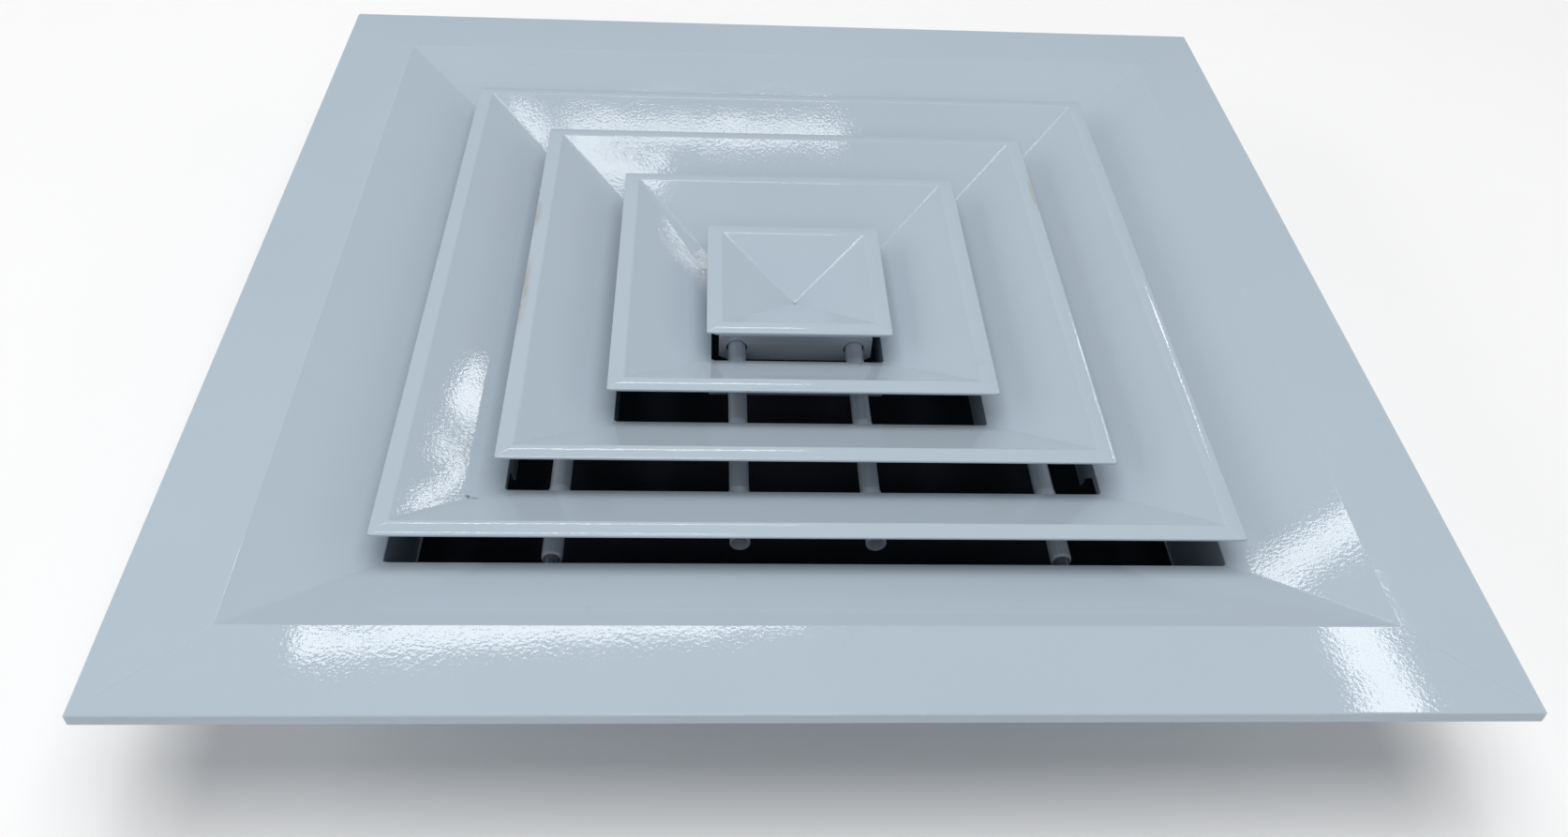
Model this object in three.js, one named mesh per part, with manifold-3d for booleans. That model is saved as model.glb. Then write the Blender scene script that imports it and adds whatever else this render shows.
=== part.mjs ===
// Square four-way ceiling air diffuser: a mitred frame with a neck collar, and a removable core
// of three louvre rings round a centre plate, strung on cross tubes and held by sprung pins.
//
// Millimetres, +Z out of the face that looks into the room, origin at the bottom centre of the
// neck collar. Every rail is one length of an extruded section cut to 45 degrees at both ends.
import * as THREE from 'three';
import { mergeVertices } from 'three/addons/utils/BufferGeometryUtils.js';
import Module from 'manifold-3d';

const wasm = await Module();
wasm.setup();

// ---------------------------------------------------------------- driving dimensions

const FACE_Z = 78; // flange face above the collar's lower end
const WALL = 1.4; // wall thickness of every extruded section
const GAP = 0.3; // clearance between touching pieces
const MITRE_GAP = GAP / Math.SQRT2; // cut back from each mitre plane, measured along the rail

// Frame: half sizes from the centre, depths below the flange face.
const FLANGE_HALF = 297.5;
const FLANGE_INNER = 252;
const LIP_DEPTH = 5.5;
const COLLAR_HALF = 196.5; // inner face
const SLOPE_DEPTH = 23.4; // where the sloping face meets the collar

// Louvre rings: the rim of each, and the section measured from that rim.
const RING_RIMS = { outer: 200, middle: 150, inner: 100 };
const CORE_RIM = 50;
const CREST_INSET = 8.2;
const CREST_DEPTH = 0.8;
const CREST_ROUND = 0.1; // how far the rounded crest lies below the sharp one
const LIP_FALL = 0.7; // how much lower the lip is at the rim than at the crest
const CENTRE_DROP = 2.8; // the centre plate's rim lies this much lower than the rings' rims
const BLADE_INSET = 52.8; // inner edge of a ring's blade
const BLADE_DEPTH = 26.2;
const LEG_DEPTH = 50;
const LEG_NOTCH = { top: 31.5, toothDepth: 42, topRun: 17, toothRun: 27, footRun: 31 };
const APEX_DEPTH = 23; // where the four centre plates meet
const APEX_INSET = 0.5;

// Corner keys and the channels that hold them, as insets from the rim or flange edge.
const FRAME_KEY = { inner: 34, outer: 16.8, top: 1.7, thickness: 1.9, reach: 48 };
const RING_KEY = { inner: 10.4, outer: 5.5, top: 4.2, thickness: 1.3, reach: 30 };
const CENTRE_KEY = { ...RING_KEY, top: RING_KEY.top + CENTRE_DROP, reach: 16 };
const KEY_HOOK = { reach: 1.5, rib: 1 };

// Cross tubes, latch pins and springs.
const TUBE_DEPTH = 35.5; // tube axis below the flange face
const TUBE_RADIUS = 5;
const TUBE_BORE = 4.1;
const TUBE_HOLE = TUBE_RADIUS + GAP;
const TUBE_SIDES = 16;
const BEAD_RISE = 0.7; // rolled beads that lock the rings on the tubes
const BEAD_HALF = 1.3;
const INNER_TUBE = { x: 33, halfLength: 173 };
const OUTER_TUBE = { x: 122, halfLength: 184 };
const TUBE_MOUTH = 3.75; // outer tubes are swaged in to this radius to keep the pin
const MOUTH_LENGTH = 1.2;
const MOUTH_LIP = 0.6;
const SEAT_HALF = 131; // crimp that the spring bears on, from the centre
const PIN_RADIUS = 3.4;
const PIN_HEAD_RADIUS = 3.8;
const PIN_HEAD_LENGTH = 8;
const PIN_SHOULDER_INSET = 0.3; // the 45 degree nose starts this far inside the collar face
const PIN_TIP_RADIUS = 0.6;
const LATCH_HOLE = 3.7;
const SPRING_RADIUS = 3;
const SPRING_WIRE = 0.35;
const SPRING_TURNS = 6;

// Bracket under the centre plates.
const BRACKET = {
  halfLength: 43,
  halfWidth: 25,
  topDepth: 25.2,
  bottomDepth: 44,
  bend: 1.2,
  chamfer: 5.3,
};
const BRACKET_HOLE = 5.8;
const SEAT = { inner: 2.5, outer: 14, clear: 0.45 }; // block that joins the plates to the bracket
const SCREW = { x: 9, shank: 2, head: 3.8, headHeight: 2, tip: 21.4, sides: 16 };

// ---------------------------------------------------------------- materials

const paint = (color) => new THREE.MeshStandardMaterial({ color, roughness: 0.28, metalness: 0 });
const metal = (color, roughness) => new THREE.MeshStandardMaterial({ color, roughness, metalness: 1 });

const WHITE_PAINT = 0xe4e9ec;
const MATERIALS = {
  paint: () => paint(WHITE_PAINT),
  aluminium: () => metal(0xa9abad, 0.4),
  steel: () => metal(0x8d9093, 0.35),
};

// ---------------------------------------------------------------- geometry helpers

const height = (depth) => FACE_Z - depth;

/** Merged, outward-facing copy of a closed geometry. */
function solid(geometry) {
  geometry.deleteAttribute('normal');
  geometry.deleteAttribute('uv');
  const merged = mergeVertices(geometry, 1e-4);
  const position = merged.attributes.position;
  const index = merged.index.array;
  const [a, b, c] = [new THREE.Vector3(), new THREE.Vector3(), new THREE.Vector3()];
  let volume = 0;
  for (let i = 0; i < index.length; i += 3) {
    a.fromBufferAttribute(position, index[i]);
    b.fromBufferAttribute(position, index[i + 1]);
    c.fromBufferAttribute(position, index[i + 2]);
    volume += a.dot(b.cross(c));
  }
  if (volume < 0) {
    for (let i = 0; i < index.length; i += 3) {
      [index[i], index[i + 1]] = [index[i + 1], index[i]];
    }
  }
  return merged;
}

function toManifold(geometry) {
  const { attributes, index } = solid(geometry);
  const vertProperties = new Float32Array(attributes.position.array);
  const triVerts = new Uint32Array(index.array);
  return new wasm.Manifold(new wasm.Mesh({ numProp: 3, vertProperties, triVerts }));
}

function fromManifold(manifold) {
  const mesh = manifold.getMesh();
  const geometry = new THREE.BufferGeometry();
  geometry.setAttribute('position', new THREE.Float32BufferAttribute(mesh.vertProperties, 3));
  geometry.setIndex(Array.from(mesh.triVerts));
  return geometry;
}

/** The geometry with every cutter taken out of it. */
function cut(geometry, cutters) {
  const body = cutters.reduce((left, cutter) => left.subtract(toManifold(cutter)), toManifold(geometry));
  return fromManifold(body);
}

/** Cylinder along Y. */
function rod(radius, length, x, y, z, sides = 20) {
  return new THREE.CylinderGeometry(radius, radius, length, sides).translate(x, y, z);
}

/** Points of a circular arc in a section, from one angle to another in degrees. */
function arc(cx, cz, radius, from, to, steps) {
  return Array.from({ length: steps + 1 }, (_, i) => {
    const angle = THREE.MathUtils.degToRad(from + ((to - from) * i) / steps);
    return [cx + radius * Math.cos(angle), cz + radius * Math.sin(angle)];
  });
}

/**
 * A rail of the front side: the section is drawn as [distance from the centre, depth as a
 * negative height], runs along X, and both ends are cut on the mitre.
 */
function mitredRail(section) {
  const shape = new THREE.Shape(section.map(([distance, z]) => new THREE.Vector2(distance, z)));
  const geometry = new THREE.ExtrudeGeometry(shape, { depth: 2, bevelEnabled: false });
  const position = geometry.attributes.position;
  for (let i = 0; i < position.count; i += 1) {
    const distance = position.getX(i);
    const along = (1 - position.getZ(i)) * (distance - MITRE_GAP);
    position.setXYZ(i, along, -distance, FACE_Z + position.getY(i));
  }
  return geometry;
}

/** L-shaped flat key for the front right corner, lying in the rails' channels. */
function cornerKey(edge, key) {
  const outer = edge - key.outer;
  const inner = edge - key.inner;
  const end = outer - key.reach;
  const shape = new THREE.Shape([
    new THREE.Vector2(outer, -outer),
    new THREE.Vector2(outer, -end),
    new THREE.Vector2(inner, -end),
    new THREE.Vector2(inner, -inner),
    new THREE.Vector2(end, -inner),
    new THREE.Vector2(end, -outer),
  ]);
  const geometry = new THREE.ExtrudeGeometry(shape, { depth: key.thickness, bevelEnabled: false });
  return geometry.translate(0, 0, height(key.top + key.thickness));
}

// ---------------------------------------------------------------- sections

/**
 * Channel on the underside of a section, listed from its inner rib to its outer one: two ribs
 * with hooks turned towards each other. roof(distance) is the underside that they hang from.
 */
function keyChannel(edge, key, roof) {
  const innerWall = edge - key.inner - GAP;
  const outerWall = edge - key.outer + GAP;
  const hookTop = -(key.top + key.thickness + GAP);
  const hookBottom = hookTop - KEY_HOOK.rib;
  const rib = (wall, side) => [
    [wall - side * KEY_HOOK.rib, roof(wall - side * KEY_HOOK.rib)],
    [wall - side * KEY_HOOK.rib, hookBottom],
    [wall + side * KEY_HOOK.reach, hookBottom],
    [wall + side * KEY_HOOK.reach, hookTop],
    [wall, hookTop],
    [wall, roof(wall)],
  ];
  return [...rib(innerWall, 1), ...rib(outerWall, -1).reverse()];
}

function frameSection() {
  const slope = SLOPE_DEPTH / (FLANGE_INNER - COLLAR_HALF);
  const drop = WALL * Math.hypot(1, slope);
  const top = (distance) => Math.min(0, (distance - FLANGE_INNER) * slope);
  const under = (distance) => top(distance) - drop;
  const knee = FLANGE_INNER + (drop - WALL) / slope;
  const edgeRadius = 1.2;
  const kneeEase = 0.8;
  return [
    [FLANGE_HALF, -LIP_DEPTH],
    ...arc(FLANGE_HALF - edgeRadius, -edgeRadius, edgeRadius, 0, 90, 3),
    [FLANGE_INNER + kneeEase, 0],
    [FLANGE_INNER - kneeEase, top(FLANGE_INNER - kneeEase)],
    [COLLAR_HALF + kneeEase, top(COLLAR_HALF + kneeEase)],
    [COLLAR_HALF, -SLOPE_DEPTH - kneeEase],
    [COLLAR_HALF, -FACE_Z],
    [COLLAR_HALF + WALL, -FACE_Z],
    [COLLAR_HALF + WALL, under(COLLAR_HALF + WALL)],
    [knee, -WALL],
    ...keyChannel(FLANGE_HALF, FRAME_KEY, () => -WALL),
    [FLANGE_HALF - WALL, -WALL],
    [FLANGE_HALF - WALL, -LIP_DEPTH],
  ];
}

/** Round rim edge, lip and crest, which the rings and the centre plates share. */
function louvreHead(rim, crestDepth, slope, key) {
  const crest = rim - CREST_INSET;
  const nose = WALL / 2;
  const lipSlope = LIP_FALL / (CREST_INSET - nose);
  const lip = (distance) => -crestDepth - (distance - crest) * lipSlope;
  const blade = (distance) => -crestDepth - (crest - distance) * slope;
  const drop = WALL * Math.hypot(1, slope);
  const under = (distance) => Math.min(lip(distance) - WALL, blade(distance) - drop);
  const crestEase = 1.1;
  return {
    blade,
    under,
    top: [
      ...arc(rim - nose, lip(rim - nose) - nose, nose, -90, 90, 6),
      [crest + crestEase, lip(crest + crestEase)],
      [crest, -crestDepth - CREST_ROUND],
      [crest - crestEase, blade(crest - crestEase)],
    ],
    channel: keyChannel(rim, key, under),
  };
}

function ringSection(rim) {
  const slope = (BLADE_DEPTH - CREST_DEPTH) / (BLADE_INSET - CREST_INSET);
  const head = louvreHead(rim, CREST_DEPTH, slope, RING_KEY);
  const edge = rim - BLADE_INSET;
  const edgeEase = 0.8;
  return [
    ...head.top,
    [edge + edgeEase, head.blade(edge + edgeEase)],
    [edge, head.blade(edge) - edgeEase],
    [edge, -LEG_DEPTH],
    [edge + WALL, -LEG_DEPTH],
    [edge + WALL, head.under(edge + WALL)],
    ...head.channel,
  ];
}

const CENTRE_CREST_DEPTH = CREST_DEPTH + CENTRE_DROP;
const CENTRE_SLOPE = (APEX_DEPTH - CENTRE_CREST_DEPTH) / (CORE_RIM - CREST_INSET);

function centreSection() {
  const head = louvreHead(CORE_RIM, CENTRE_CREST_DEPTH, CENTRE_SLOPE, CENTRE_KEY);
  return [
    ...head.top,
    [APEX_INSET, head.blade(APEX_INSET)],
    [APEX_INSET, head.under(APEX_INSET)],
    ...head.channel,
  ];
}

// ---------------------------------------------------------------- cutters

/** Holes through a front rail at the given places along it. */
function railHoles(places, distance, radius) {
  const through = 12;
  return places.map((x) => rod(radius, through, x, -distance, height(TUBE_DEPTH)));
}

/**
 * The outer ring's side legs stop short of the corners: each end is cut back on a slant, with
 * a hooked tooth at the foot.
 */
function legNotches(edge) {
  const { top, toothDepth, topRun, toothRun, footRun } = LEG_NOTCH;
  const past = 6;
  const below = LEG_DEPTH + 1;
  const outline = [
    [edge + past, top],
    [edge - topRun, top],
    [edge - toothRun, toothDepth],
    [edge - footRun, below],
    [edge + past, below],
  ];
  return [-1, 1].map((side) => {
    const shape = new THREE.Shape(outline.map(([x, depth]) => new THREE.Vector2(side * x, -depth)));
    const cutter = new THREE.ExtrudeGeometry(shape, { depth: past, bevelEnabled: false });
    return cutter.rotateX(Math.PI / 2).translate(0, -edge + 1, FACE_Z);
  });
}

// ---------------------------------------------------------------- sub-part geometries

function frameRail(side) {
  const rail = mitredRail(frameSection());
  const latched = side === 'front' || side === 'back';
  if (!latched) return rail;
  return cut(rail, railHoles([-OUTER_TUBE.x, OUTER_TUBE.x], COLLAR_HALF + WALL / 2, LATCH_HOLE));
}

function ringRail(name, side) {
  const edge = RING_RIMS[name] - BLADE_INSET;
  const rail = mitredRail(ringSection(RING_RIMS[name]));
  const crossed = side === 'front' || side === 'back';
  if (crossed) {
    const places = [INNER_TUBE.x, OUTER_TUBE.x].filter((x) => x < edge).flatMap((x) => [-x, x]);
    return cut(rail, railHoles(places, edge + WALL / 2, TUBE_HOLE));
  }
  return name === 'outer' ? cut(rail, legNotches(edge)) : rail;
}

/** Outline of a tube's outside from its middle to one end, with a bead inside each leg. */
function tubeOutside(halfLength, legFaces) {
  return legFaces.flatMap((face) => {
    const centre = face - GAP - BEAD_HALF;
    return [
      [TUBE_RADIUS, centre - BEAD_HALF],
      [TUBE_RADIUS + BEAD_RISE, centre],
      [TUBE_RADIUS, centre + BEAD_HALF],
    ];
  }).concat([[TUBE_RADIUS, halfLength]]);
}

/** Closed tube section from its outside and its bore, both mirrored about the middle. */
function tube(outside, bore, x) {
  const half = [...outside, ...bore.slice().reverse()];
  const mirrored = half.map(([radius, y]) => [radius, -y]).reverse();
  const section = [...half, ...mirrored, half[0]];
  const points = section.map(([radius, y]) => new THREE.Vector2(radius, y));
  return new THREE.LatheGeometry(points, TUBE_SIDES).translate(x, 0, height(TUBE_DEPTH));
}

const legFace = (name) => RING_RIMS[name] - BLADE_INSET;

function innerTube(x) {
  const faces = ['inner', 'middle', 'outer'].map(legFace);
  return tube(tubeOutside(INNER_TUBE.halfLength, faces), [[TUBE_BORE, INNER_TUBE.halfLength]], x);
}

function outerTube(x) {
  const end = OUTER_TUBE.halfLength;
  const crimp = 1.4;
  const outside = [
    [TUBE_RADIUS, SEAT_HALF - 2 * crimp],
    [TUBE_RADIUS - crimp, SEAT_HALF - crimp],
    [TUBE_RADIUS, SEAT_HALF],
    ...tubeOutside(end - MOUTH_LENGTH, [legFace('outer')]),
    [TUBE_MOUTH + MOUTH_LIP, end],
  ];
  const bore = [
    [TUBE_BORE, SEAT_HALF - 2 * crimp],
    [TUBE_BORE - crimp, SEAT_HALF - crimp],
    [TUBE_BORE, SEAT_HALF],
    [TUBE_BORE, end - MOUTH_LENGTH],
    [TUBE_MOUTH, end - MOUTH_LENGTH / 2],
    [TUBE_MOUTH, end],
  ];
  return tube(outside, bore, x);
}

const PIN_FRONT = OUTER_TUBE.halfLength - MOUTH_LENGTH - GAP; // front of the pin's head
const PIN_BACK = PIN_FRONT - PIN_HEAD_LENGTH;

/** Latch pin of the back side: a head kept in the tube, a shank and a 45 degree nose. */
function latchPin(x) {
  const shoulder = COLLAR_HALF - PIN_SHOULDER_INSET;
  const tip = shoulder + PIN_RADIUS - PIN_TIP_RADIUS;
  const section = [
    [0, PIN_BACK],
    [PIN_HEAD_RADIUS, PIN_BACK],
    [PIN_HEAD_RADIUS, PIN_FRONT],
    [PIN_RADIUS, PIN_FRONT + PIN_HEAD_RADIUS - PIN_RADIUS],
    [PIN_RADIUS, shoulder],
    [PIN_TIP_RADIUS, tip],
    [0, tip + PIN_TIP_RADIUS / 2],
  ];
  const points = section.map(([radius, y]) => new THREE.Vector2(radius, y));
  return new THREE.LatheGeometry(points, TUBE_SIDES).translate(x, 0, height(TUBE_DEPTH));
}

class SpringCurve extends THREE.Curve {
  constructor(x, from, to) {
    super();
    Object.assign(this, { x, from, to });
  }

  getPoint(t, target = new THREE.Vector3()) {
    const angle = 2 * Math.PI * SPRING_TURNS * t;
    return target.set(
      this.x + SPRING_RADIUS * Math.cos(angle),
      this.from + (this.to - this.from) * t,
      height(TUBE_DEPTH) + SPRING_RADIUS * Math.sin(angle),
    );
  }
}

/** Compression spring of the back side, between the crimp and the pin's head. */
function latchSpring(x) {
  const clear = SPRING_WIRE + GAP;
  const curve = new SpringCurve(x, SEAT_HALF + clear, PIN_BACK - clear);
  const sides = 4;
  const wire = new THREE.Shape(
    Array.from({ length: sides }, (_, i) => {
      const angle = (2 * Math.PI * i) / sides;
      return new THREE.Vector2(SPRING_WIRE * Math.cos(angle), SPRING_WIRE * Math.sin(angle));
    }),
  );
  const stepsPerTurn = 9;
  const steps = SPRING_TURNS * stepsPerTurn;
  return new THREE.ExtrudeGeometry(wire, { steps, extrudePath: curve, bevelEnabled: false });
}

/** Channel bracket, open downwards, with clearance holes for the inner tubes. */
function coreBracket() {
  const { halfLength, halfWidth, topDepth, bottomDepth, chamfer, bend } = BRACKET;
  const section = [
    [-halfWidth, -bottomDepth],
    [-halfWidth + WALL, -bottomDepth],
    [-halfWidth + WALL, -topDepth - WALL],
    [halfWidth - WALL, -topDepth - WALL],
    [halfWidth - WALL, -bottomDepth],
    [halfWidth, -bottomDepth],
    ...arc(halfWidth - bend, -topDepth - bend, bend, 0, 90, 2),
    ...arc(-halfWidth + bend, -topDepth - bend, bend, 90, 180, 2),
  ];
  const shape = new THREE.Shape(section.map(([y, z]) => new THREE.Vector2(y, z)));
  const channel = new THREE.ExtrudeGeometry(shape, { depth: 2 * halfLength, bevelEnabled: false });
  // Section x, section y and depth become Y, Z and X.
  const axes = new THREE.Matrix4().set(0, 0, 1, -halfLength, 1, 0, 0, 0, 0, 1, 0, FACE_Z, 0, 0, 0, 1);
  channel.applyMatrix4(axes);

  const holes = [-INNER_TUBE.x, INNER_TUBE.x].map((x) => (
    rod(BRACKET_HOLE, 4 * halfWidth, x, 0, height(TUBE_DEPTH), 24)
  ));
  const corners = [-1, 1].flatMap((side) => [
    cornerCut(side * halfLength, bottomDepth, side * chamfer, -chamfer / 2),
    cornerCut(side * halfLength, topDepth, side * chamfer, chamfer / 2),
  ]);
  return cut(channel, [...holes, ...corners, ...screwHoles()]);
}

/** Clearance holes for the two bracket screws, through the bracket and into the seat. */
function screwHoles() {
  const radius = SCREW.shank + GAP;
  const top = height(SCREW.tip - GAP);
  const bottom = height(BRACKET.topDepth + 2 * WALL);
  return [-SCREW.x, SCREW.x].map((x) => (
    new THREE.CylinderGeometry(radius, radius, top - bottom, SCREW.sides)
      .rotateX(Math.PI / 2)
      .translate(x, 0, (top + bottom) / 2)
  ));
}

/** Square block whose dished top fits the plates' undersides and whose base is on the bracket. */
function centreSeat() {
  const drop = WALL * Math.hypot(1, CENTRE_SLOPE) + SEAT.clear;
  const top = (distance) => height(APEX_DEPTH + drop - distance * CENTRE_SLOPE);
  const base = height(BRACKET.topDepth - GAP);
  const corners = [
    [SEAT.inner, base],
    [SEAT.outer, base],
    [SEAT.outer, top(SEAT.outer)],
    [SEAT.inner, top(SEAT.inner)],
    [SEAT.inner, base],
  ];
  const points = corners.map(([distance, z]) => new THREE.Vector2(distance * Math.SQRT2, z));
  const ring = new THREE.LatheGeometry(points, 4).rotateX(Math.PI / 2).rotateZ(Math.PI / 4);
  return cut(ring, screwHoles());
}

/** Pan head screw, driven up from inside the bracket. */
function bracketScrew(x) {
  const under = height(BRACKET.topDepth + WALL + GAP);
  const section = [
    [0, under - SCREW.headHeight],
    [SCREW.head - 1, under - SCREW.headHeight],
    [SCREW.head, under - 1],
    [SCREW.head, under],
    [SCREW.shank, under],
    [SCREW.shank, height(SCREW.tip + 1)],
    [SCREW.shank / 2, height(SCREW.tip)],
    [0, height(SCREW.tip)],
  ];
  const points = section.map(([radius, z]) => new THREE.Vector2(radius, z));
  return new THREE.LatheGeometry(points, SCREW.sides).rotateX(Math.PI / 2).translate(x, 0, 0);
}

/** Prism that takes a chamfer off a bracket corner, right across its width. */
function cornerCut(x, depth, runX, runDepth) {
  const over = 1;
  const outX = x + Math.sign(runX) * over;
  const outDepth = depth - Math.sign(runDepth) * over;
  const steep = runDepth / runX;
  const shape = new THREE.Shape([
    new THREE.Vector2(outX, -outDepth),
    new THREE.Vector2(outX, -(depth + runDepth + over * Math.abs(steep) * Math.sign(runDepth))),
    new THREE.Vector2(x - runX - over * runX / Math.abs(runDepth), -outDepth),
  ]);
  const length = 2 * BRACKET.halfWidth + 2;
  const cutter = new THREE.ExtrudeGeometry(shape, { depth: length, bevelEnabled: false });
  return cutter.rotateX(Math.PI / 2).translate(0, length / 2, FACE_Z);
}

// ---------------------------------------------------------------- assembly

const SIDES = ['front', 'right', 'back', 'left'];
const diffuser = new THREE.Group();
diffuser.name = 'ceiling_diffuser';

function add(name, geometry, material, turns = 0) {
  const mesh = new THREE.Mesh(solid(geometry), MATERIALS[material]());
  mesh.name = name;
  mesh.rotation.z = (turns * Math.PI) / 2;
  diffuser.add(mesh);
}

SIDES.forEach((side, turns) => {
  const next = SIDES[(turns + 1) % SIDES.length];
  add(`frame_rail_${side}`, frameRail(side), 'paint', turns);
  add(`frame_key_${side}_${next}`, cornerKey(FLANGE_HALF, FRAME_KEY), 'steel', turns);
  Object.entries(RING_RIMS).forEach(([name, rim]) => {
    add(`${name}_ring_${side}`, ringRail(name, side), 'paint', turns);
    add(`${name}_key_${side}_${next}`, cornerKey(rim, RING_KEY), 'steel', turns);
  });
  add(`centre_plate_${side}`, mitredRail(centreSection()), 'paint', turns);
  add(`centre_key_${side}_${next}`, cornerKey(CORE_RIM, CENTRE_KEY), 'steel', turns);
});

add('core_bracket', coreBracket(), 'aluminium');
add('centre_seat', centreSeat(), 'aluminium');

[['left', -1], ['right', 1]].forEach(([hand, sign]) => {
  add(`bracket_screw_${hand}`, bracketScrew(sign * SCREW.x), 'steel');
  add(`inner_tube_${hand}`, innerTube(sign * INNER_TUBE.x), 'aluminium');
  add(`outer_tube_${hand}`, outerTube(sign * OUTER_TUBE.x), 'aluminium');
  add(`latch_pin_back_${hand}`, latchPin(sign * OUTER_TUBE.x), 'steel');
  add(`latch_pin_front_${hand}`, latchPin(-sign * OUTER_TUBE.x), 'steel', 2);
  add(`latch_spring_back_${hand}`, latchSpring(sign * OUTER_TUBE.x), 'steel');
  add(`latch_spring_front_${hand}`, latchSpring(-sign * OUTER_TUBE.x), 'steel', 2);
});

export default diffuser;
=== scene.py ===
"""Square four-way ceiling air diffuser in white powder coat, lying on its neck, face up."""
import math

import bmesh
import bpy
from mathutils import Matrix, Vector


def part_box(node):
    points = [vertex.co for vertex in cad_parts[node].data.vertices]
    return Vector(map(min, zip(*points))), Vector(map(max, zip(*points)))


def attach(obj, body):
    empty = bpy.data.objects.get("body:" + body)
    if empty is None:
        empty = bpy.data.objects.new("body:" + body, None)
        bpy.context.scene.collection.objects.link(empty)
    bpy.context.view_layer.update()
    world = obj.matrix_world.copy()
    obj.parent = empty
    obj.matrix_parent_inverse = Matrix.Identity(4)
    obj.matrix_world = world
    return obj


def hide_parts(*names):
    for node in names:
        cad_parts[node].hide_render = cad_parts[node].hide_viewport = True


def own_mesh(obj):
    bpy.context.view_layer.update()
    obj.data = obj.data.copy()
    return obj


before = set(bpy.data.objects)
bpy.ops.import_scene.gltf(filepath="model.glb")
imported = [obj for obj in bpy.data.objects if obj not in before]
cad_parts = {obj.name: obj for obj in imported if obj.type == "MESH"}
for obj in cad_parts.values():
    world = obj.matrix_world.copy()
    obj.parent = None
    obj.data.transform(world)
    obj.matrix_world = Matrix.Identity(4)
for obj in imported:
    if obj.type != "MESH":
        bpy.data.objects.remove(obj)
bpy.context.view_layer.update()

MM = 0.001
SIDES = ("front", "right", "back", "left")

# ---------------------------------------------------------------- sizes, in millimetres


def corner_mm(node, corner, axis):
    """One coordinate of a CAD node's lowest (0) or highest (1) corner."""
    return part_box(node)[corner][axis] / MM


FACE = corner_mm("frame_rail_front", 1, 2)
FLANGE = corner_mm("frame_rail_right", 1, 0)
RIMS = {name: corner_mm(f"{name}_ring_right", 1, 0) for name in ("outer", "middle", "inner")}
CORE_RIM = corner_mm("centre_plate_right", 1, 0)
TUBE_Z = (corner_mm("inner_tube_right", 0, 2) + corner_mm("inner_tube_right", 1, 2)) / 2
INNER_TUBE_X = (corner_mm("inner_tube_right", 0, 0) + corner_mm("inner_tube_right", 1, 0)) / 2
INNER_TUBE_END = corner_mm("inner_tube_right", 1, 1)
OUTER_TUBE_X = (corner_mm("outer_tube_right", 0, 0) + corner_mm("outer_tube_right", 1, 0)) / 2
OUTER_TUBE_END = corner_mm("outer_tube_right", 1, 1)
PIN_TIP = corner_mm("latch_pin_back_right", 1, 1)
PIN_BACK = corner_mm("latch_pin_back_right", 0, 1)
SPRING_START = corner_mm("latch_spring_back_right", 0, 1)
SPRING_END = corner_mm("latch_spring_back_right", 1, 1)
BRACKET_LOW, BRACKET_HIGH = (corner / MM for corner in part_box("core_bracket"))

WALL = 1.4
COLLAR = corner_mm("frame_rail_right", 0, 0)
FLANGE_INNER = 252
LIP_DEPTH = 5.5
SLOPE_DEPTH = 23.4
CREST_INSET = 8.2
CREST_DEPTH = 0.8
CREST_ROUND = 4
LIP_FALL = 0.7
LIP_STEPS = 6
CENTRE_DROP = 2.8
BLADE_INSET = 52.8
BLADE_DEPTH = 26.2
LEG_DEPTH = 50
APEX_DEPTH = 23
SEAM = 0.02  # half the joint between two mitred ends
FILL = 1.1  # half width of the paint that fills or rounds a mitre
SEAM_DIP = 0.04
# inner edge, outer edge and hook height of each section's channel for a corner key
FRAME_CHANNEL = (34.3, 16.5, -3.9)
LOUVRE_CHANNEL = (10.7, 5.2, -5.8)
# run from the leg's edge and depth of the corners of a side leg's notch
NOTCH = ((6, 31.5), (-17, 31.5), (-27, 42), (-31, 51), (6, 51))
TUBE_RADIUS = 5
TUBE_BORE = 4.1
TUBE_MOUTH = 3.75  # the outer tubes are swaged in to this radius to keep the pins
SEAT_BORE = 2.8  # narrowing of an outer tube's bore that a spring bears on
TUBE_HOLE = 5.3
BRACKET_HOLE = 5.8
LATCH_HOLE = 3.7
DRILL_LENGTH = 12
SPRING_TURNS = 11
SPRING_WIRE = 0.38
SPRING_COIL = 3.0

# ---------------------------------------------------------------- outlines


def rounded(corners):
    """Closed outline from corners (distance, depth, radius), each radius drawn as an arc."""
    outline = []
    for i, (x, z, radius) in enumerate(corners):
        here = Vector((x, z))
        to_last = Vector(corners[i - 1][:2]) - here
        to_next = Vector(corners[(i + 1) % len(corners)][:2]) - here
        if radius == 0:
            outline.append(here)
            continue
        last_length, next_length = to_last.length, to_next.length
        to_last.normalize()
        to_next.normalize()
        opening = to_last.angle(to_next)
        setback = min(radius / math.tan(opening / 2), 0.45 * last_length, 0.45 * next_length)
        radius = setback * math.tan(opening / 2)
        centre = here + (to_last + to_next).normalized() * (radius / math.sin(opening / 2))
        start = here + to_last * setback - centre
        turn = math.pi - opening
        sign = 1 if to_last.cross(to_next) < 0 else -1
        steps = max(2, math.ceil(turn / math.radians(12)))
        for k in range(steps + 1):
            outline.append(centre + Matrix.Rotation(sign * turn * k / steps, 2) @ start)
    return outline


def key_channel(edge, inner, outer, hook_top, roof):
    """Corners of the channel that holds a corner key, from its inner rib to its outer rib."""
    rib, reach, hook = 1, 1.5, 1

    def hooked(wall, side):
        back = wall - side * rib
        return [
            (back, roof(back), 0.3), (back, hook_top - hook, 0.25),
            (wall + side * reach, hook_top - hook, 0.25), (wall + side * reach, hook_top, 0.2),
            (wall, hook_top, 0.2), (wall, roof(wall), 0.2),
        ]

    return hooked(edge - inner, 1) + hooked(edge - outer, -1)[::-1]


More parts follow.
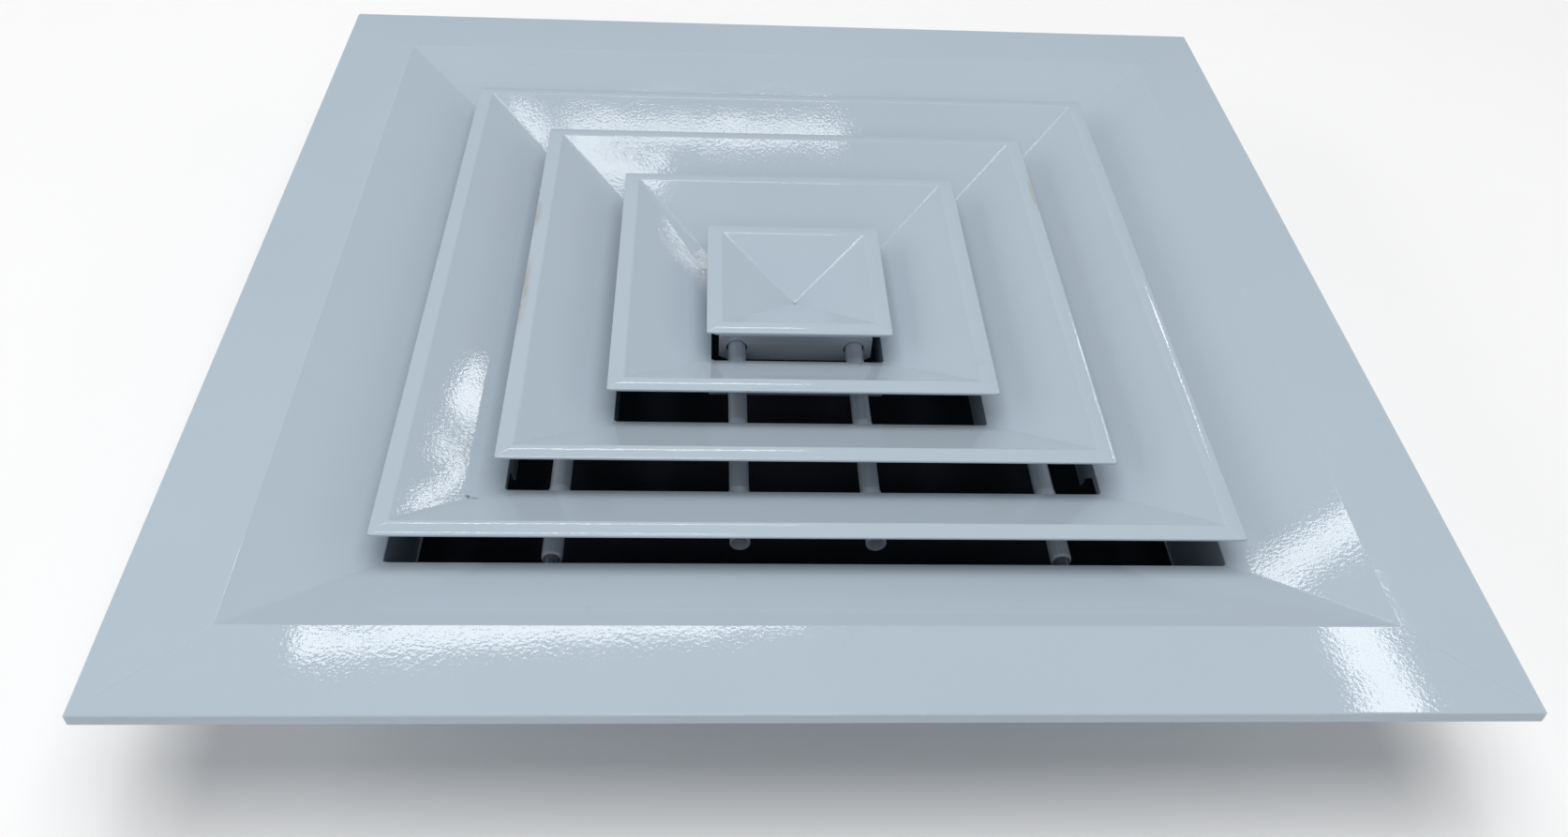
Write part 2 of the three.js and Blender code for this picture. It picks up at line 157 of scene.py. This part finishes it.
def frame_outline():
    slope = SLOPE_DEPTH / (FLANGE_INNER - COLLAR)
    drop = WALL * math.hypot(1, slope)
    knee = FLANGE_INNER + (drop - WALL) / slope
    return rounded([
        (FLANGE, -LIP_DEPTH, 0.4), (FLANGE, 0, 1.0), (FLANGE_INNER, 0, 1.2),
        (COLLAR, -SLOPE_DEPTH, 1.0), (COLLAR, -FACE, 0.4), (COLLAR + WALL, -FACE, 0.4),
        (COLLAR + WALL, -SLOPE_DEPTH + WALL * slope - drop, 0.8), (knee, -WALL, 1.0),
        *key_channel(FLANGE, *FRAME_CHANNEL, lambda distance: -WALL),
        (FLANGE - WALL, -WALL, 0.5), (FLANGE - WALL, -LIP_DEPTH, 0.4),
    ])


def louvre_outline(rim, drop, slope, inner_corners):
    """Round rim edge, crowned lip and crest, then the inner corners and the key channel.
    drop is how much lower than a ring the louvre lies."""
    crest = rim - CREST_INSET
    crest_z = -CREST_DEPTH - drop
    thick = WALL * math.hypot(1, slope)
    channel_inner, channel_outer, hook_top = LOUVRE_CHANNEL

    def lip(distance):
        share = max(0, distance - crest) / (CREST_INSET - WALL / 2)
        return crest_z - LIP_FALL * share * share

    def under(distance):
        return min(lip(distance) - WALL, crest_z - (crest - distance) * slope - thick)

    crown = [rim - CREST_INSET * k / LIP_STEPS for k in range(1, LIP_STEPS)]
    return rounded([
        (rim, lip(rim) - WALL, 0.66), (rim, lip(rim), 0.66),
        *((distance, lip(distance), 0) for distance in crown), (crest, crest_z, CREST_ROUND),
        *inner_corners(under),
        *key_channel(rim, channel_inner, channel_outer, hook_top - drop, under),
    ])


def ring_outline(rim):
    slope = (BLADE_DEPTH - CREST_DEPTH) / (BLADE_INSET - CREST_INSET)
    edge = rim - BLADE_INSET
    return louvre_outline(rim, 0, slope, lambda under: [
        (edge, -BLADE_DEPTH, 0.8), (edge, -LEG_DEPTH, 0.5), (edge + WALL, -LEG_DEPTH, 0.5),
        (edge + WALL, under(edge + WALL), 0.8),
    ])


def centre_outline():
    tip = 0.1
    slope = (APEX_DEPTH - CREST_DEPTH - CENTRE_DROP) / (CORE_RIM - CREST_INSET)
    return louvre_outline(CORE_RIM, CENTRE_DROP, slope, lambda under: [
        (8, -APEX_DEPTH + 8 * slope, 0), (2, -APEX_DEPTH + 2 * slope, 0),
        (tip, -APEX_DEPTH, 0), (tip, under(tip), 0),
    ])


# ---------------------------------------------------------------- mesh helpers


def piece_from(name, mesh_builder):
    """Object from a function that fills a bmesh in millimetres."""
    bm = bmesh.new()
    mesh_builder(bm)
    bmesh.ops.recalc_face_normals(bm, faces=bm.faces)
    bmesh.ops.scale(bm, vec=(MM, MM, MM), verts=bm.verts)
    mesh = bpy.data.meshes.new(name)
    bm.to_mesh(mesh)
    bm.free()
    piece = bpy.data.objects.new(name, mesh)
    bpy.context.scene.collection.objects.link(piece)
    return piece


def skin(bm, rows, close_ends):
    """Quads between rows of points, each row a closed loop. Rows of one point make a tip."""
    made = [[bm.verts.new(p) for p in row] for row in rows]
    for a, b in zip(made, made[1:]):
        count = max(len(a), len(b))
        for i in range(count):
            j = (i + 1) % count
            corners = [a[i % len(a)], a[j % len(a)], b[j % len(b)], b[i % len(b)]]
            bm.faces.new(list(dict.fromkeys(corners)))
    if close_ends:
        for end in (made[0], made[-1]):
            if len(end) > 2:
                bm.faces.new(end)
    else:
        for i in range(len(made[0])):
            j = (i + 1) % len(made[0])
            bm.faces.new([made[-1][i], made[-1][j], made[0][j], made[0][i]])


def outline_normals(outline):
    """Unit normals at the points of an outline, facing out of it."""
    area = sum(outline[i - 1].cross(outline[i]) for i in range(len(outline)))
    turn = 1 if area > 0 else -1
    normals = []
    for i, here in enumerate(outline):
        last, after = outline[i - 1], outline[(i + 1) % len(outline)]
        total = Vector((0, 0))
        for a, b in ((last, here), (here, after)):
            edge = (b - a).normalized()
            total += turn * Vector((edge.y, -edge.x))
        normals.append(total.normalized())
    return normals


def mitre_lift(normal, setback):
    """How far the surface stands off its flat at a setback from the mitre: paint fills a
    valley and rounds a ridge on an arc that is tangent to both faces."""
    across, up = normal
    bend = math.acos(min(1, up * up))
    dip = -SEAM_DIP if setback == 0 else 0
    if bend < math.radians(3):
        return dip
    along, rise = up, across
    skew = abs(along) / math.sqrt(2 * along * along + rise * rise)
    distance = setback * math.sqrt(1 - skew * skew)
    if distance >= FILL:
        return 0
    radius = FILL / math.tan(bend / 2)
    lift = radius - math.sqrt(max(0, radius * radius - (FILL - distance) ** 2))
    return (lift if across < 0 else -lift) + dip


def mitred_rail(name, outline, side):
    """One rail of a square, both ends cut on the mitre, with closer rows near the mitres."""
    setbacks = (0, 0.15, 0.35, 0.6, 0.85, 1.1, 1.45)
    shares = (0.985, 0.6, 0.2, -0.2, -0.6, -0.985)
    normals = outline_normals(outline)

    def place(point, normal, setback, end):
        setback *= min(1, max(0, point.x - SEAM) / (2 * setbacks[-1]))
        moved = point + normal * mitre_lift(normal, setback)
        return end * (moved.x - SEAM - setback), moved

    def build(bm):
        rows = []
        for setback in setbacks:
            rows.append([place(p, n, setback, 1) for p, n in zip(outline, normals)])
        for share in shares:
            rows.append([(share * max(p.x / 2, p.x - setbacks[-1] - SEAM), p) for p in outline])
        for setback in reversed(setbacks):
            rows.append([place(p, n, setback, -1) for p, n in zip(outline, normals)])
        skin(bm, [[(x, -p.x, FACE + p.y) for x, p in row] for row in rows], True)
        turn = Matrix.Rotation(SIDES.index(side) * math.pi / 2, 3, "Z")
        bmesh.ops.rotate(bm, verts=bm.verts, cent=(0, 0, 0), matrix=turn)

    return piece_from(name, build)


def turned(name, outline, x, y_sign, sides=40, hollow=False):
    """A round piece about a line along Y at tube height, from (radius, y) points."""

    def build(bm):
        rows = []
        for radius, y in outline:
            count = 1 if radius == 0 else sides
            rows.append([
                (x + radius * math.cos(2 * math.pi * i / sides), y_sign * y,
                 TUBE_Z + radius * math.sin(2 * math.pi * i / sides))
                for i in range(count)
            ])
        skin(bm, rows, not hollow)

    return piece_from(name, build)


def spring(name, x, y_sign):
    """Compression spring along Y at tube height."""
    steps, sides = 26, 8
    start, end = SPRING_START + SPRING_WIRE, SPRING_END - SPRING_WIRE

    def build(bm):
        rows = []
        for i in range(SPRING_TURNS * steps + 1):
            share = i / (SPRING_TURNS * steps)
            angle = 2 * math.pi * SPRING_TURNS * share
            ease = share - 0.035 * math.sin(2 * math.pi * share)
            centre = Vector((math.cos(angle), 0, math.sin(angle)))
            row = []
            for k in range(sides):
                a = 2 * math.pi * k / sides
                reach = SPRING_COIL + SPRING_WIRE * math.cos(a)
                y = start + (end - start) * ease + SPRING_WIRE * math.sin(a)
                row.append((x + centre.x * reach, y_sign * y, TUBE_Z + centre.z * reach))
            rows.append(row)
        skin(bm, rows, True)

    return piece_from(name, build)


def apply_modifiers(piece):
    graph = bpy.context.evaluated_depsgraph_get()
    mesh = bpy.data.meshes.new_from_object(piece.evaluated_get(graph))
    piece.modifiers.clear()
    piece.data = mesh


def cut(piece, cutters):
    """Takes each cutter out of the piece and deletes it."""
    for cutter in cutters:
        modifier = piece.modifiers.new("cut", "BOOLEAN")
        modifier.operation = "DIFFERENCE"
        modifier.solver = "EXACT"
        modifier.object = cutter
    bpy.context.view_layer.update()
    apply_modifiers(piece)
    for cutter in cutters:
        bpy.data.objects.remove(cutter)


def smooth(piece, angle=32):
    """Smooth shading with sharp edges kept, and flat faces kept flat."""
    piece.data.polygons.foreach_set("use_smooth", [True] * len(piece.data.polygons))
    piece.data.set_sharp_from_angle(angle=math.radians(angle))
    modifier = piece.modifiers.new("flat_faces", "WEIGHTED_NORMAL")
    modifier.keep_sharp = True
    modifier.weight = 100


def drill(x, y, radius):
    """Round cutter along Y at tube height."""
    half = DRILL_LENGTH / 2
    return turned("cutter", [(radius, y - half), (radius, y + half)], x, 1)


def prism(points, low, high):
    """Cutter with a straight outline in X and height, from low to high along Y."""

    def build(bm):
        skin(bm, [[(x, y, z) for x, z in points] for y in (low, high)], True)

    return piece_from("cutter", build)


# ---------------------------------------------------------------- materials


class Nodes:
    """Short calls for building one material's node tree."""

    def __init__(self, name):
        self.material = bpy.data.materials.new(name)
        self.material.use_nodes = True
        self.tree = self.material.node_tree
        self.shader = self.tree.nodes["Principled BSDF"]
        self.place = self.add("ShaderNodeTexCoord").outputs["Object"]

    def add(self, kind, **values):
        node = self.tree.nodes.new(kind)
        for key, value in values.items():
            setattr(node, key, value)
        return node

    def link(self, output, node, name):
        self.tree.links.new(output, node.inputs[name])

    def noise(self, scale, detail=2.0, stretch=(1, 1, 1), roughness=0.5, distortion=0.0):
        mapping = self.add("ShaderNodeMapping")
        mapping.inputs["Scale"].default_value = stretch
        self.link(self.place, mapping, "Vector")
        node = self.add("ShaderNodeTexNoise")
        node.inputs["Scale"].default_value = scale
        node.inputs["Detail"].default_value = detail
        node.inputs["Roughness"].default_value = roughness
        node.inputs["Distortion"].default_value = distortion
        self.link(mapping.outputs["Vector"], node, "Vector")
        return node.outputs["Fac"]

    def spread(self, value, low, high, from_low=0.3, from_high=0.7):
        node = self.add("ShaderNodeMapRange")
        for name, number in (("From Min", from_low), ("From Max", from_high),
                             ("To Min", low), ("To Max", high)):
            node.inputs[name].default_value = number
        self.link(value, node, "Value")
        return node.outputs["Result"]

    def blend(self, share, first, second):
        node = self.add("ShaderNodeMix", data_type="RGBA")
        for socket, colour in ((node.inputs[6], first), (node.inputs[7], second)):
            if isinstance(colour, tuple):
                socket.default_value = (*colour, 1)
            else:
                self.tree.links.new(colour, socket)
        self.tree.links.new(share, node.inputs[0])
        return node.outputs[2]

    def product(self, first, second):
        node = self.add("ShaderNodeMath", operation="MULTIPLY")
        self.tree.links.new(first, node.inputs[0])
        self.tree.links.new(second, node.inputs[1])
        return node.outputs[0]

    def near(self, place, reach):
        """1 at a place, falling to 0 at a reach away along each axis."""
        away = self.add("ShaderNodeVectorMath", operation="SUBTRACT")
        self.tree.links.new(self.place, away.inputs[0])
        away.inputs[1].default_value = place
        scaled = self.add("ShaderNodeVectorMath", operation="DIVIDE")
        self.tree.links.new(away.outputs[0], scaled.inputs[0])
        scaled.inputs[1].default_value = reach
        length = self.add("ShaderNodeVectorMath", operation="LENGTH")
        self.tree.links.new(scaled.outputs[0], length.inputs[0])
        return self.spread(length.outputs["Value"], 1, 0, 0.4, 1)

    def bump(self, height, distance, normal=None):
        node = self.add("ShaderNodeBump")
        node.inputs["Strength"].default_value = 1
        node.inputs["Distance"].default_value = distance
        self.link(height, node, "Height")
        if normal is not None:
            self.link(normal, node, "Normal")
        return node.outputs["Normal"]


PAINT_COLOUR = (0.422, 0.500, 0.572)
DUST_COLOUR = (0.36, 0.37, 0.36)
SCUFF_COLOUR = (0.37, 0.375, 0.36)
DARK_DASH_COLOUR = (0.05, 0.055, 0.06)
# place and reach in metres, and colour, of each mark on the paint
PAINT_MARKS = (
    ((-0.149, -0.022, FACE * MM), (0.0032, 0.04, 0.006), SCUFF_COLOUR),
    ((-0.1488, 0.055, FACE * MM), (0.0026, 0.018, 0.006), SCUFF_COLOUR),
    ((0.149, 0.085, FACE * MM), (0.0026, 0.026, 0.006), SCUFF_COLOUR),
    ((-0.1605, -0.1605, 0.0595), (0.0042, 0.0016, 0.004), DARK_DASH_COLOUR),
)


def powder_coat():
    """Glossy white powder coat: faint orange peel, faint tone changes, scuffs and a small near-black
    dash.
    """
    n = Nodes("white_powder_coat")
    tone = n.spread(n.noise(9, 3), 0, 1)
    deeper = tuple(c * 0.972 for c in PAINT_COLOUR)
    body = n.blend(tone, PAINT_COLOUR, deeper)
    rub = n.spread(n.noise(38, 6, roughness=0.62, distortion=0.6), 0, 0.35, 0.66, 0.82)
    worn = n.blend(rub, body, DUST_COLOUR)
    streaks = n.spread(n.noise(300, 5, stretch=(1, 0.2, 1), roughness=0.7), 0.1, 1, 0.35, 0.6)
    for place, reach, colour in PAINT_MARKS:
        worn = n.blend(n.product(n.near(place, reach), streaks), worn, colour)
    n.link(worn, n.shader, "Base Color")
    n.link(n.spread(n.noise(60, 4), 0.02, 0.05), n.shader, "Roughness")
    wave = n.bump(n.noise(30, 1), 9e-5)
    peel = n.bump(n.noise(560, 1.5, roughness=0.45), 1.7e-5, wave)
    n.link(n.bump(n.noise(1400, 1), 3e-6, peel), n.shader, "Normal")
    n.shader.inputs["IOR"].default_value = 1.52
    return n.material


def dull_metal(name, colour, stretch, rough):
    """Oxidised aluminium: a pale, almost chalky skin with fine lines along its length."""
    n = Nodes(name)
    lines = n.noise(1, 5, stretch=stretch, roughness=0.6)
    darker = tuple(c * 0.82 for c in colour)
    n.link(n.blend(n.spread(lines, 0, 1), colour, darker), n.shader, "Base Color")
    n.link(n.spread(n.noise(120, 4), rough - 0.06, rough + 0.08), n.shader, "Roughness")
    n.link(n.bump(lines, 1.5e-5), n.shader, "Normal")
    n.shader.inputs["Metallic"].default_value = 0.2
    return n.material


def zinc(name):
    """Zinc plated steel with a faint crystal pattern."""
    n = Nodes(name)
    cells = n.add("ShaderNodeTexVoronoi")
    cells.inputs["Scale"].default_value = 700
    n.link(n.place, cells, "Vector")
    shade = n.spread(cells.outputs["Distance"], 0, 1, 0, 0.9)
    n.link(n.blend(shade, (0.60, 0.61, 0.62), (0.50, 0.51, 0.54)), n.shader, "Base Color")
    n.link(n.spread(n.noise(300, 3), 0.26, 0.4), n.shader, "Roughness")
    n.link(n.bump(n.noise(900, 2), 8e-6), n.shader, "Normal")
    n.shader.inputs["Metallic"].default_value = 1
    return n.material


def floor_paint():
    """Plain pale studio floor."""
    n = Nodes("pale_floor")
    n.link(n.blend(n.noise(3, 4), (0.90, 0.90, 0.90), (0.88, 0.88, 0.885)), n.shader, "Base Color")
    n.link(n.spread(n.noise(50, 3), 0.7, 0.8), n.shader, "Roughness")
    return n.material


def painted_shade_sheet():
    """Dark sheet of painted shade, standing for the unlit duct behind the louvres."""
    n = Nodes("painted_shade_sheet")
    n.link(n.blend(n.noise(400, 3), (0.014, 0.016, 0.022), (0.024, 0.027, 0.034)),
           n.shader, "Base Color")
    n.shader.inputs["Roughness"].default_value = 0.95
    n.shader.inputs["Specular IOR Level"].default_value = 0.1
    return n.material


OXIDE_COLOUR = (0.70, 0.78, 0.88)
PAINT = powder_coat()
TUBE_METAL = dull_metal("drawn_aluminium", OXIDE_COLOUR, (900, 6, 900), 0.45)
BRACKET_METAL = dull_metal("pressed_aluminium", OXIDE_COLOUR, (6, 900, 900), 0.45)
ZINC = zinc("zinc_plate")


def dress(piece, material, slot, body, *nodes):
    """Gives a finished piece its material and its body, and hides the nodes it stands for."""
    piece.data.materials.clear()
    piece.data.materials.append(material)
    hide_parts(*nodes)
    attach(piece, body)


# ---------------------------------------------------------------- frame


def latch_holes(side):
    sign = -1 if side == "front" else 1
    y = sign * (COLLAR + WALL / 2)
    return [drill(x, y, LATCH_HOLE) for x in (-OUTER_TUBE_X, OUTER_TUBE_X)]


def build_frame():
    outline = frame_outline()
    for side in SIDES:
        piece = mitred_rail(f"painted_frame_{side}", outline, side)
        if side in ("front", "back"):
            cut(piece, latch_holes(side))
        smooth(piece)
        dress(piece, PAINT, "white_paint", "frame", f"frame_rail_{side}")


# ---------------------------------------------------------------- louvre rings


def tube_holes(side, edge):
    sign = -1 if side == "front" else 1
    y = sign * (edge + WALL / 2)
    places = [x for x in (INNER_TUBE_X, OUTER_TUBE_X) if x < edge]
    return [drill(s * x, y, TUBE_HOLE) for x in places for s in (-1, 1)]


def leg_notches(side, edge):
    """Slanted cut with a hooked tooth at each end of the outer ring's side legs."""
    sign = 1 if side == "right" else -1
    cutters = []
    for end in (-1, 1):
        outline = [(end * (edge + run), FACE - depth) for run, depth in NOTCH]
        cutter = prism(outline, edge - 1, edge + 5)
        cutter.matrix_world = Matrix.Rotation(-sign * math.pi / 2, 4, "Z")
        cutters.append(cutter)
    return cutters


def build_rings():
    for name, rim in RIMS.items():
        outline = ring_outline(rim)
        edge = rim - BLADE_INSET
        for side in SIDES:
            piece = mitred_rail(f"painted_{name}_ring_{side}", outline, side)
            if side in ("front", "back"):
                cut(piece, tube_holes(side, edge))
            elif name == "outer":
                cut(piece, leg_notches(side, edge))
            smooth(piece)
            dress(piece, PAINT, "white_paint", "core", f"{name}_ring_{side}")


def build_centre():
    outline = centre_outline()
    for side in SIDES:
        piece = mitred_rail(f"painted_centre_{side}", outline, side)
        smooth(piece)
        dress(piece, PAINT, "white_paint", "core", f"centre_plate_{side}")


def build_bracket():
    """Channel bracket with rounded bends, chamfered ends and a hole for each tube."""
    low, high = BRACKET_LOW, BRACKET_HIGH
    half, wall = high.y, WALL
    outline = rounded([
        (-half, low.z, 0.3), (-half + wall, low.z, 0.3), (-half + wall, high.z - wall, 0.8),
        (half - wall, high.z - wall, 0.8), (half - wall, low.z, 0.3), (half, low.z, 0.3),
        (half, high.z, 2.2), (-half, high.z, 2.2),
    ])

    def build(bm):
        skin(bm, [[(x, p.x, p.y) for p in outline] for x in (low.x, high.x)], True)

    piece = piece_from("bracket_channel", build)
    bore = [(BRACKET_HOLE, -half - 5), (BRACKET_HOLE, half + 5)]
    cutters = [turned("cutter", bore, s * INNER_TUBE_X, 1) for s in (-1, 1)]
    run, drop = 5.3, 2.65
    for end in (-1, 1):
        x = end * high.x
        for z, sign in ((low.z, 1), (high.z, -1)):
            points = [(x - end * (run + 2), z - sign), (x + end, z - sign),
                      (x + end, z + sign * (drop + 0.5))]
            cutters.append(prism(points, -half - 1, half + 1))
    cut(piece, cutters)
    edge = piece.modifiers.new("edge", "BEVEL")
    edge.width = 0.25 * MM
    edge.segments = 2
    edge.angle_limit = math.radians(40)
    apply_modifiers(piece)
    smooth(piece)
    dress(piece, BRACKET_METAL, "aluminium", "core", "core_bracket")


# ---------------------------------------------------------------- tubes, pins and springs


def shoulder(face):
    """Rolled shoulder on a tube, against the inside of a ring's leg."""
    start, end, rise, ease = face - 9.5, face - 0.3, 0.45, 1.6
    ramp = [(rise * (1 - math.cos(math.pi * k / 4)) / 2, ease * k / 4) for k in range(5)]
    return ([(TUBE_RADIUS + up, start + along) for up, along in ramp]
            + [(TUBE_RADIUS + up, end - along) for up, along in ramp[::-1]])


def mirrored_tube(outside, bore):
    """Closed outline of a whole tube from the outside and bore of its half."""
    half = [*outside, *bore[::-1]]
    return half + [(radius, -y) for radius, y in half[::-1]]


def build_tubes():
    faces = [RIMS[name] - BLADE_INSET for name in ("inner", "middle", "outer")]
    end = INNER_TUBE_END
    inner = mirrored_tube(
        [p for face in faces for p in shoulder(face)]
        + [(TUBE_RADIUS, end - 0.3), (4.85, end - 0.08), (4.7, end)],
        [(TUBE_BORE, end - 0.25), (4.3, end)],
    )
    end = OUTER_TUBE_END
    seat = SPRING_START - 2
    outer = mirrored_tube(
        shoulder(faces[-1])
        + [(TUBE_RADIUS, end - 1.5), (4.9, end - 0.8), (4.6, end - 0.25), (4.3, end)],
        [(TUBE_BORE, seat - 1.6), (SEAT_BORE, seat - 0.6), (SEAT_BORE, seat + 0.6),
         (TUBE_BORE, seat + 1.6), (TUBE_BORE, end - 1.3), (TUBE_MOUTH, end - 0.7),
         (TUBE_MOUTH, end - 0.1), (3.9, end)],
    )
    for hand, sign in (("left", -1), ("right", 1)):
        for kind, outline, x in (("inner", inner, INNER_TUBE_X), ("outer", outer, OUTER_TUBE_X)):
            piece = turned(f"{kind}_cross_tube_{hand}", outline, sign * x, 1, 48, hollow=True)
            smooth(piece, 40)
            dress(piece, TUBE_METAL, "aluminium", "core", f"{kind}_tube_{hand}")


def build_latches():
    head_front = OUTER_TUBE_END - 1.5
    nose_start = PIN_TIP - 3.1
    pin = [
        (0, PIN_BACK), (3.5, PIN_BACK), (3.8, PIN_BACK + 0.3), (3.8, head_front - 0.3),
        (3.55, head_front), (3.4, head_front + 0.2), (3.4, nose_start - 0.3), (3.25, nose_start + 0.1),
        (1.0, PIN_TIP - 0.7), (0.5, PIN_TIP - 0.2), (0, PIN_TIP),
    ]
    for end, y_sign in (("front", -1), ("back", 1)):
        for hand, x_sign in (("left", -1), ("right", 1)):
            x = x_sign * OUTER_TUBE_X
            name = f"{end}_{hand}"
            piece = turned(f"pin_{name}", pin, x, y_sign, 32)
            smooth(piece, 30)
            dress(piece, ZINC, "steel", f"latch_pin_{name}", f"latch_pin_{name}")
            coil = spring(f"spring_{name}", x, y_sign)
            smooth(coil, 60)
            dress(coil, ZINC, "steel", "core", f"latch_spring_{name}")
            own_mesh(coil)


def dress_hidden_parts():
    """CAD nodes that keep their shape and get a finish."""
    for name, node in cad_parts.items():
        if "_key_" in name or "screw" in name:
            node.data.materials.clear()
            node.data.materials.append(ZINC)
        elif name == "centre_seat":
            node.data.materials.clear()
            node.data.materials.append(BRACKET_METAL)


# ---------------------------------------------------------------- stage, light and camera

FLOOR_RADIUS = 2300
SHADE_LIFT = 0.4  # the dark shade lies this far above the floor


def plane(name, radius, z, material, sides):
    """Flat stage piece, round or square, with its corners on a circle."""

    def build(bm):
        angles = [2 * math.pi * (i + 0.5) / sides for i in range(sides)]
        loop = [(radius * math.cos(a), radius * math.sin(a), z) for a in angles]
        bm.faces.new([bm.verts.new(p) for p in loop])

    piece = piece_from(name, build)
    piece.data.materials.append(material)


def build_stage():
    plane("floor", FLOOR_RADIUS, 0, floor_paint(), 96)
    # duct_shade is a dark sheet of painted shade inside the neck, so the gaps between the louvres read
    # black
    plane("duct_shade", (COLLAR - 1) * math.sqrt(2), SHADE_LIFT, painted_shade_sheet(), 4)


CEILING = 6.08
# place, length, width, turn in degrees and radiance of each narrow lamp in the ceiling
CEILING_LAMPS = {
    "row_back": ((-0.92, 4.61), 3.0, 0.26, 5, 7),
    "row_middle": ((-1.25, 2.5), 2.7, 0.12, 0, 7),
    "row_right": ((4.0, 4.3), 1.4, 0.38, 90, 7),
    "far_right_end": ((5.87, 9.2), 0.85, 0.42, 80, 7),
    "far_right_middle": ((5.77, 8.35), 0.24, 0.46, 90, 7),
    "far_right_start": ((5.68, 7.75), 1.15, 0.13, 62, 7),
    "far_right_tip": ((9.8, 16.42), 1.5, 0.34, 8, 9),
    "overhead": ((-0.06, 0.172), 1.37, 0.14, 0, 7),
    "overhead_panel": ((0.05, 1.3), 1.1, 1.0, 0, 7),
    "overhead_edge": ((-0.96, 0.15), 0.25, 0.24, -40, 7),
    "overhead_left": ((-0.5, -0.03), 0.48, 0.2, -12, 7),
}
# place, size and radiance of each large soft box, and whether the gloss shows it
SOFT_BOXES = {
    "box_top": ((0, 0, 2.9), (3.0, 3.0), 2.65, False),
    "box_left": ((-2.6, 0, 1.1), (3.0, 1.6), 1.45, True),
    "box_right": ((2.6, 0, 1.1), (3.0, 1.6), 0.75, True),
    "box_front": ((0, -2.6, 1.6), (3.0, 1.6), 0.9, True),
}
WORLD_LIGHT = 0.14


def lamp(name, place, size, radiance, aim):
    """Rectangular lamp of an even radiance that points along aim. The camera doesn't see it."""
    data = bpy.data.lights.new(name, "AREA")
    data.shape = "RECTANGLE"
    data.size, data.size_y = size
    data.energy = math.pi * data.size * data.size_y * radiance
    light = bpy.data.objects.new(name, data)
    light.location = place
    light.rotation_euler = Vector(aim).to_track_quat("-Z", "Y").to_euler()
    light.visible_camera = False
    bpy.context.scene.collection.objects.link(light)
    return light


def build_world():
    """Dim even light, with a pale backdrop behind the floor's far edge."""
    world = bpy.data.worlds.new("studio")
    world.use_nodes = True
    tree = world.node_tree
    light = tree.nodes["Background"]
    light.inputs["Color"].default_value = (1, 1, 1, 1)
    light.inputs["Strength"].default_value = WORLD_LIGHT
    backdrop = tree.nodes.new("ShaderNodeBackground")
    backdrop.inputs["Color"].default_value = (0.97, 0.97, 0.97, 1)
    path = tree.nodes.new("ShaderNodeLightPath")
    mix = tree.nodes.new("ShaderNodeMixShader")
    tree.links.new(path.outputs["Is Camera Ray"], mix.inputs[0])
    tree.links.new(light.outputs[0], mix.inputs[1])
    tree.links.new(backdrop.outputs[0], mix.inputs[2])
    tree.links.new(mix.outputs[0], tree.nodes["World Output"].inputs["Surface"])
    bpy.context.scene.world = world


def build_lights():
    build_world()
    bpy.context.scene.view_settings.view_transform = "Standard"
    for name, ((x, y), length, width, turn, radiance) in CEILING_LAMPS.items():
        light = lamp(name, (x, y, CEILING), (length, width), radiance, (0, 0, -1))
        light.rotation_euler.z = math.radians(turn)
    for name, (place, size, radiance, in_gloss) in SOFT_BOXES.items():
        aim = Vector((0, 0, FACE * MM)) - Vector(place)
        lamp(name, place, size, radiance, aim).visible_glossy = in_gloss


CAMERA_PLACE = (-0.0513, -0.6182, 0.5311)
CAMERA_AZIMUTH = 4.579
CAMERA_PITCH = 42.326
CAMERA_ROLL = 3.706
CAMERA_LENS = 31.35


def build_camera():
    data = bpy.data.cameras.new("camera")
    data.lens = CAMERA_LENS
    data.sensor_width = 36
    camera = bpy.data.objects.new("camera", data)
    turn = Matrix.Rotation(math.radians(-CAMERA_AZIMUTH), 4, "Z")
    tilt = Matrix.Rotation(math.radians(90 - CAMERA_PITCH), 4, "X")
    roll = Matrix.Rotation(math.radians(CAMERA_ROLL), 4, "Z")
    camera.matrix_world = Matrix.Translation(CAMERA_PLACE) @ turn @ tilt @ roll
    bpy.context.scene.collection.objects.link(camera)
    bpy.context.scene.camera = camera


build_camera()
build_frame()
build_rings()
build_centre()
build_bracket()
build_tubes()
build_latches()
dress_hidden_parts()
build_stage()
build_lights()
